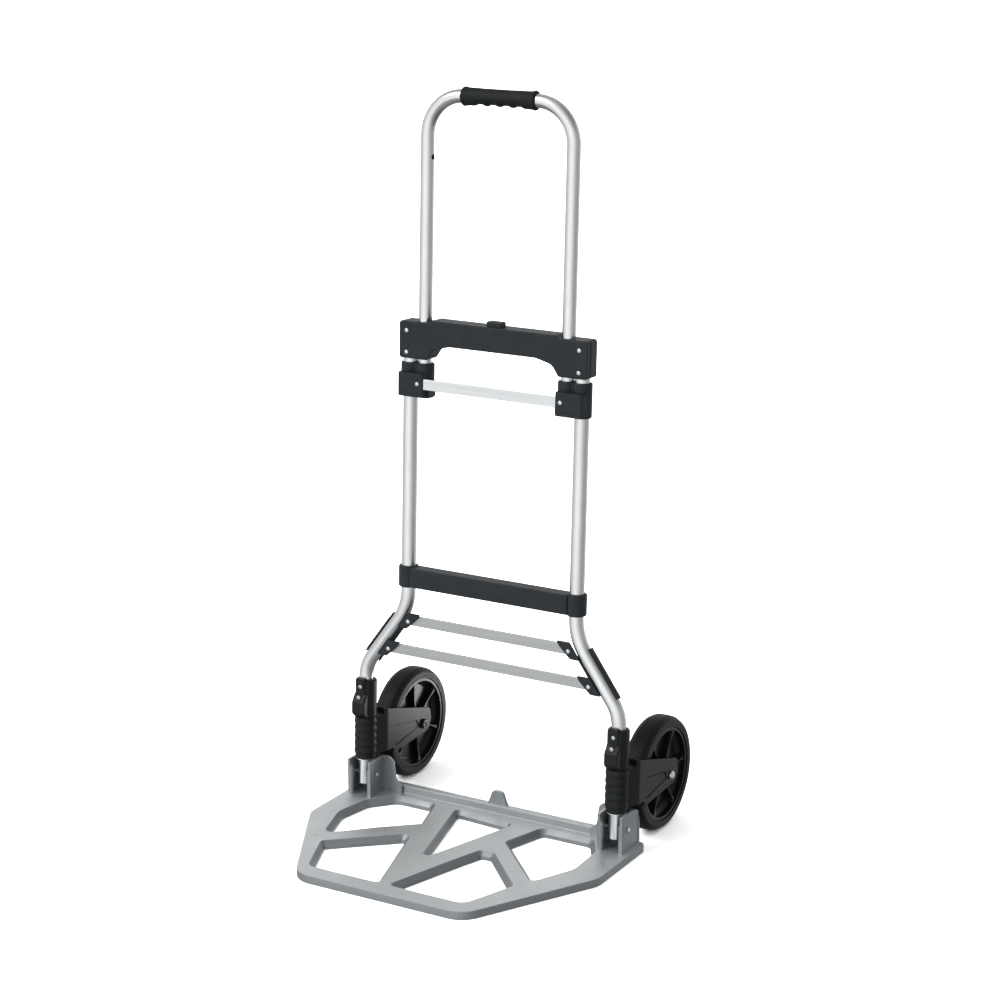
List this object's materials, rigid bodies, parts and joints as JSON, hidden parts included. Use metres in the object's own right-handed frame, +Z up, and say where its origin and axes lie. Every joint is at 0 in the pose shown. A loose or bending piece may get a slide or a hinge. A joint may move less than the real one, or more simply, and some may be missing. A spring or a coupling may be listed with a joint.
{
  "type": "folding hand truck",
  "caption": "Folding hand truck with a cast windowed toe plate, bent tubes, a sliding loop handle with release button, and wheels on swivelling forks.",
  "frame": {"origin": "on the floor, under the middle of the truck's width and of its depth from the toe plate's front edge to the back of the wheels", "axes": "+Z up, -Y to the front, where the toe plate reaches out, and +X to the right of someone who faces the truck's back from the front: the tubes lean back (+Y) by 2.2 degrees"},
  "size_m": [0.494, 0.5232, 1.0992],
  "materials": {
    "aluminium_tube": "satin drawn",
    "cast_aluminium": "blasted casting",
    "black_plastic": "fine textured moulding",
    "grip_rubber": "matte",
    "tyre_rubber": "matte",
    "zinc_steel": "zinc plated"
  },
  "bodies": {
    "frame": {"bridge_housing": "black_plastic", "bridge_rear_cover": "black_plastic", "bridge_rivet_lower_left": "zinc_steel", "bridge_rivet_lower_right": "zinc_steel", "bridge_rivet_upper_left": "zinc_steel", "bridge_rivet_upper_right": "zinc_steel", "lock_spring_left": "zinc_steel", "lock_spring_right": "zinc_steel", "button_spring": "zinc_steel", "lower_crossbar": "black_plastic", "crossbar_screw_left": "zinc_steel", "crossbar_screw_right": "zinc_steel", "upper_strut": "aluminium_tube", "lower_strut": "aluminium_tube", "strut_bracket_left": "black_plastic", "strut_rivet_upper_left": "zinc_steel", "strut_rivet_lower_left": "zinc_steel", "lower_tube_left": "aluminium_tube", "tube_plug_left": "black_plastic", "collar_left": "black_plastic", "collar_screw_lower_left": "zinc_steel", "collar_screw_upper_left": "zinc_steel", "fork_washer_left": "zinc_steel", "strut_bracket_right": "black_plastic", "strut_rivet_upper_right": "zinc_steel", "strut_rivet_lower_right": "zinc_steel", "lower_tube_right": "aluminium_tube", "tube_plug_right": "black_plastic", "collar_right": "black_plastic", "collar_screw_lower_right": "zinc_steel", "collar_screw_upper_right": "zinc_steel", "fork_washer_right": "zinc_steel"},
    "handle": {"handle_tube": "aluminium_tube", "grip": "grip_rubber", "slider_bar": "aluminium_tube", "slider_left": "black_plastic", "slider_right": "black_plastic", "slider_rivet_left": "zinc_steel", "slider_rivet_right": "zinc_steel"},
    "release_button": {"release_button": "black_plastic"},
    "lock_pin_left": {"lock_pin_left": "zinc_steel"},
    "lock_pin_right": {"lock_pin_right": "zinc_steel"},
    "toe_plate": {"toe_plate": "cast_aluminium", "pivot_pin_left": "zinc_steel", "pivot_pin_right": "zinc_steel"},
    "fork_left": {"wheel_fork_left": "black_plastic", "axle_bolt_left": "zinc_steel", "axle_nut_left": "black_plastic"},
    "fork_right": {"wheel_fork_right": "black_plastic", "axle_bolt_right": "zinc_steel", "axle_nut_right": "black_plastic"},
    "wheel_left": {"tyre_left": "tyre_rubber", "wheel_rim_left": "black_plastic", "bearing_inner_left": "zinc_steel", "bearing_outer_left": "zinc_steel"},
    "wheel_right": {"tyre_right": "tyre_rubber", "wheel_rim_right": "black_plastic", "bearing_inner_right": "zinc_steel", "bearing_outer_right": "zinc_steel"}
  },
  "joints": [
    {"name": "handle_slide", "type": "slide", "parent": "frame", "child": "handle", "axis": [0, -0.0384, -0.9993], "range_m": [0, 0.255]},
    {"name": "button_press", "type": "slide", "parent": "frame", "child": "release_button", "axis": [0, -0.0384, -0.9993], "range_m": [0, 0.005], "stiffness_N_per_m": 900, "springref_m": -0.004, "deforming": ["button_spring"]},
    {"name": "lock_pin_left_slide", "type": "slide", "parent": "frame", "child": "lock_pin_left", "axis": [1, 0, 0], "range_m": [0, 0.005], "deforming": ["lock_spring_left"]},
    {"name": "lock_pin_right_slide", "type": "slide", "parent": "frame", "child": "lock_pin_right", "axis": [-1, 0, 0], "range_m": [0, 0.005], "deforming": ["lock_spring_right"]},
    {"name": "toe_plate_fold", "type": "hinge", "parent": "frame", "child": "toe_plate", "pos_m": [0, 0.0451, 0.045], "axis": [-1, 0, 0], "range_deg": [0, 92.2]},
    {"name": "fork_left_swivel", "type": "hinge", "parent": "frame", "child": "fork_left", "pos_m": [-0.217, 0.04338, 0], "axis": [0, 0.0384, 0.9993], "range_deg": [-90.1, 0]},
    {"name": "fork_right_swivel", "type": "hinge", "parent": "frame", "child": "fork_right", "pos_m": [0.217, 0.04338, 0], "axis": [0, 0.0384, 0.9993], "range_deg": [0, 90.1]},
    {"name": "wheel_left_spin", "type": "hinge", "parent": "fork_left", "child": "wheel_left", "pos_m": [-0.217, 0.17432, 0.0873], "axis": [1, 0, 0], "continuous": true},
    {"name": "wheel_right_spin", "type": "hinge", "parent": "fork_right", "child": "wheel_right", "pos_m": [0.217, 0.17432, 0.0873], "axis": [1, 0, 0], "continuous": true}
  ],
  "couplings": [
    {"joint": "lock_pin_left_slide", "follows": "button_press", "ratio": 1},
    {"joint": "lock_pin_right_slide", "follows": "button_press", "ratio": 1},
    {"joint": "fork_left_swivel", "follows": "toe_plate_fold", "ratio": -0.976},
    {"joint": "fork_right_swivel", "follows": "toe_plate_fold", "ratio": 0.976}
  ]
}
